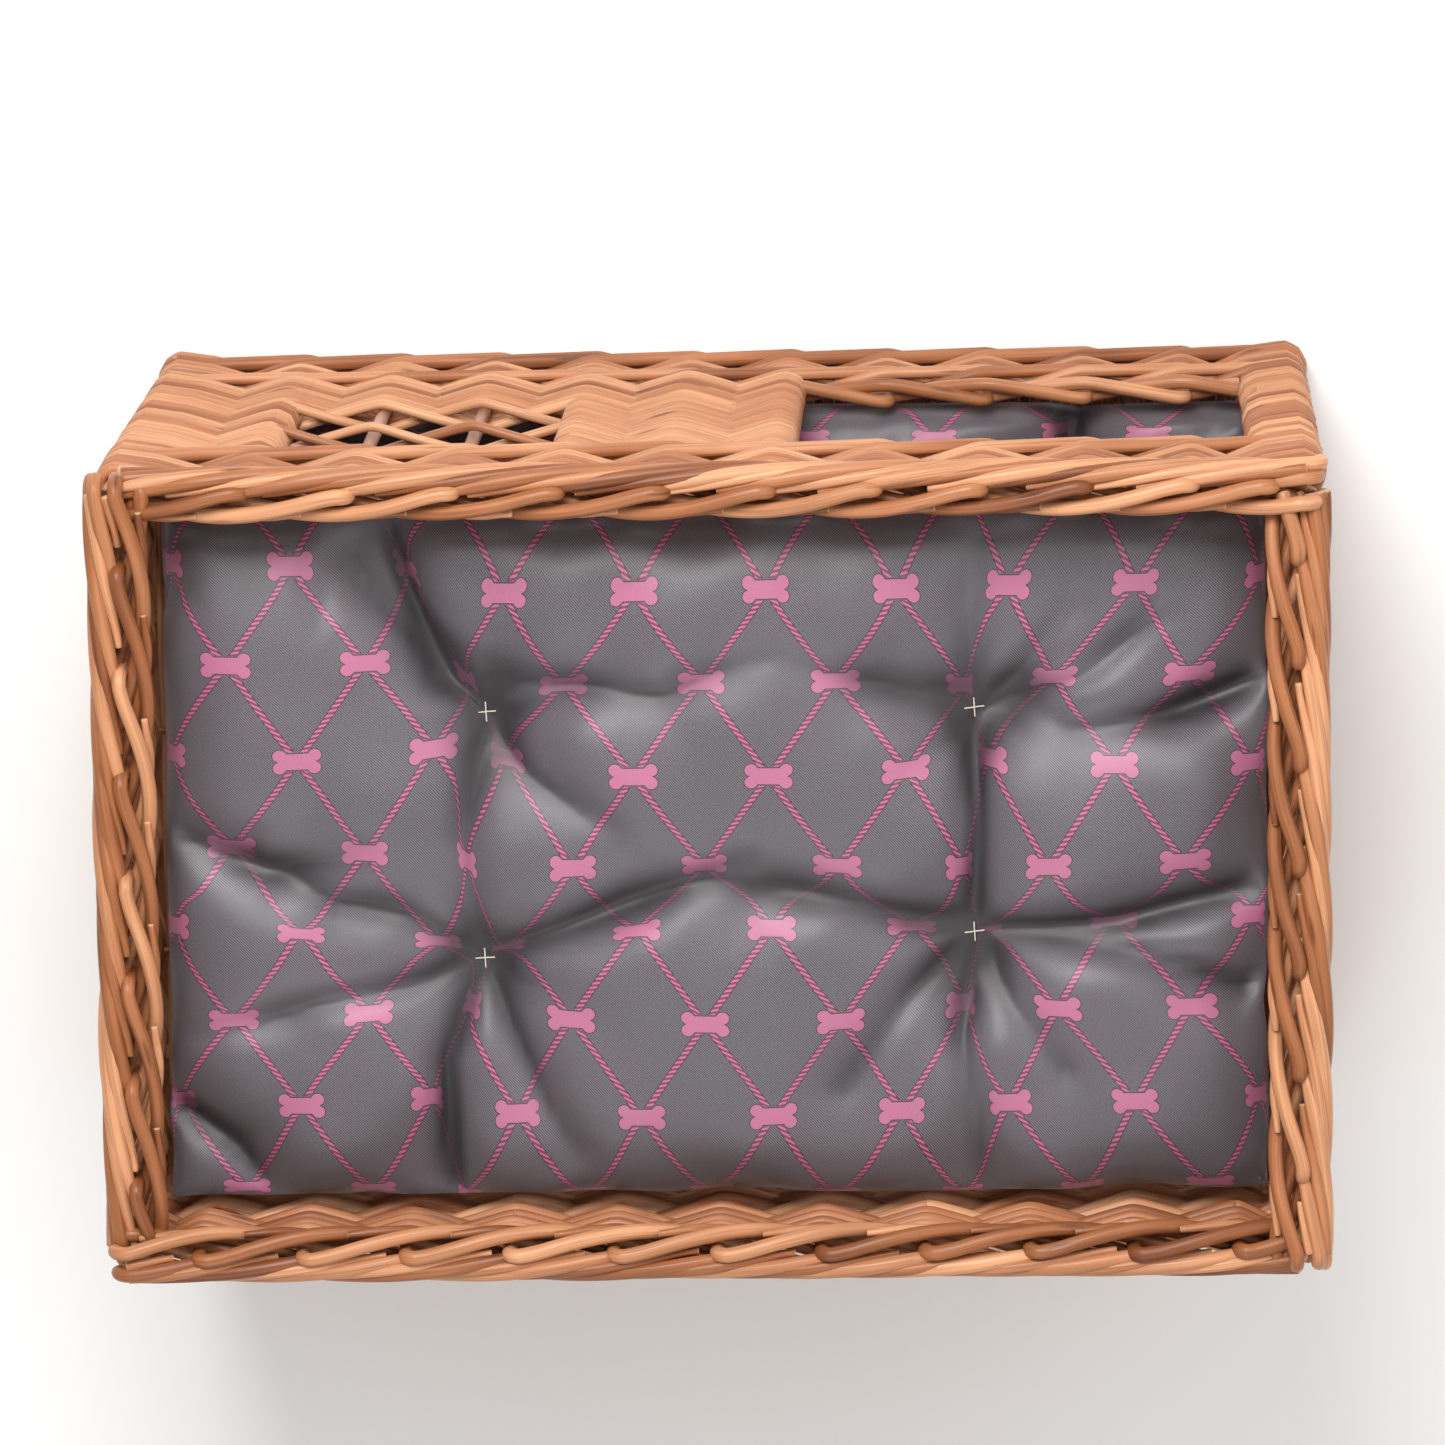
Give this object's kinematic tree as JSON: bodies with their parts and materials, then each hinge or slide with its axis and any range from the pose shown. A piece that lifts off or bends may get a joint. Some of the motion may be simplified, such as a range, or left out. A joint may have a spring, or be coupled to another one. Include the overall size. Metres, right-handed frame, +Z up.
{
  "type": "wicker pet bed basket",
  "caption": "Two-storey wicker pet house: an open tray with a tufted cushion over a cabin with a front entrance, a lattice window and its own cushion.",
  "frame": {"origin": "centre of the underside, on the floor", "axes": "+Z up, -Y the front with the entrance and the window, +X the window side"},
  "size_m": [0.6, 0.404, 0.4],
  "materials": {
    "willow_stake": "satin",
    "willow_weaver": "satin",
    "willow_wale": "satin",
    "willow_border": "satin",
    "cushion_fabric": "satin",
    "cushion_filling": "matte",
    "cushion_thread": "matte"
  },
  "bodies": {
    "basket": {"corner_posts": "willow_stake", "front_stakes": "willow_stake", "window_stakes": "willow_stake", "sill_stakes": "willow_stake", "lintel_stakes": "willow_stake", "back_stakes": "willow_stake", "left_stakes": "willow_stake", "right_stakes": "willow_stake", "foot_wale": "willow_wale", "foot_weave": "willow_weaver", "lower_wale": "willow_wale", "upper_wale": "willow_wale", "base_sticks": "willow_stake", "base_weave": "willow_weaver", "shelf_sticks": "willow_stake", "shelf_weave": "willow_weaver", "front_corner_panel": "willow_weaver", "window_sill_panel": "willow_weaver", "front_middle_panel": "willow_weaver", "entrance_post_weave": "willow_weaver", "back_cabin_weave": "willow_weaver", "left_cabin_weave": "willow_weaver", "right_cabin_weave": "willow_weaver", "threshold_border": "willow_border", "window_lattice": "willow_stake", "tray_front_weave": "willow_weaver", "tray_back_weave": "willow_weaver", "tray_left_weave": "willow_weaver", "tray_right_weave": "willow_weaver", "rim_front": "willow_border", "rim_back": "willow_border", "rim_left": "willow_border", "rim_right": "willow_border"},
    "upper_cushion": {"upper_cushion_cover": "cushion_fabric", "upper_cushion_filling": "cushion_filling", "upper_cushion_ties": "cushion_thread"},
    "lower_cushion": {"lower_cushion_cover": "cushion_fabric", "lower_cushion_filling": "cushion_filling", "lower_cushion_ties": "cushion_thread"}
  },
  "joints": [
    {"name": "upper_cushion_lift", "type": "slide", "parent": "basket", "child": "upper_cushion", "axis": [0, 0, 1], "range_m": [0, 0.15]},
    {"name": "lower_cushion_lift", "type": "slide", "parent": "basket", "child": "lower_cushion", "axis": [0, 0, 1], "range_m": [0, 0.18]}
  ]
}
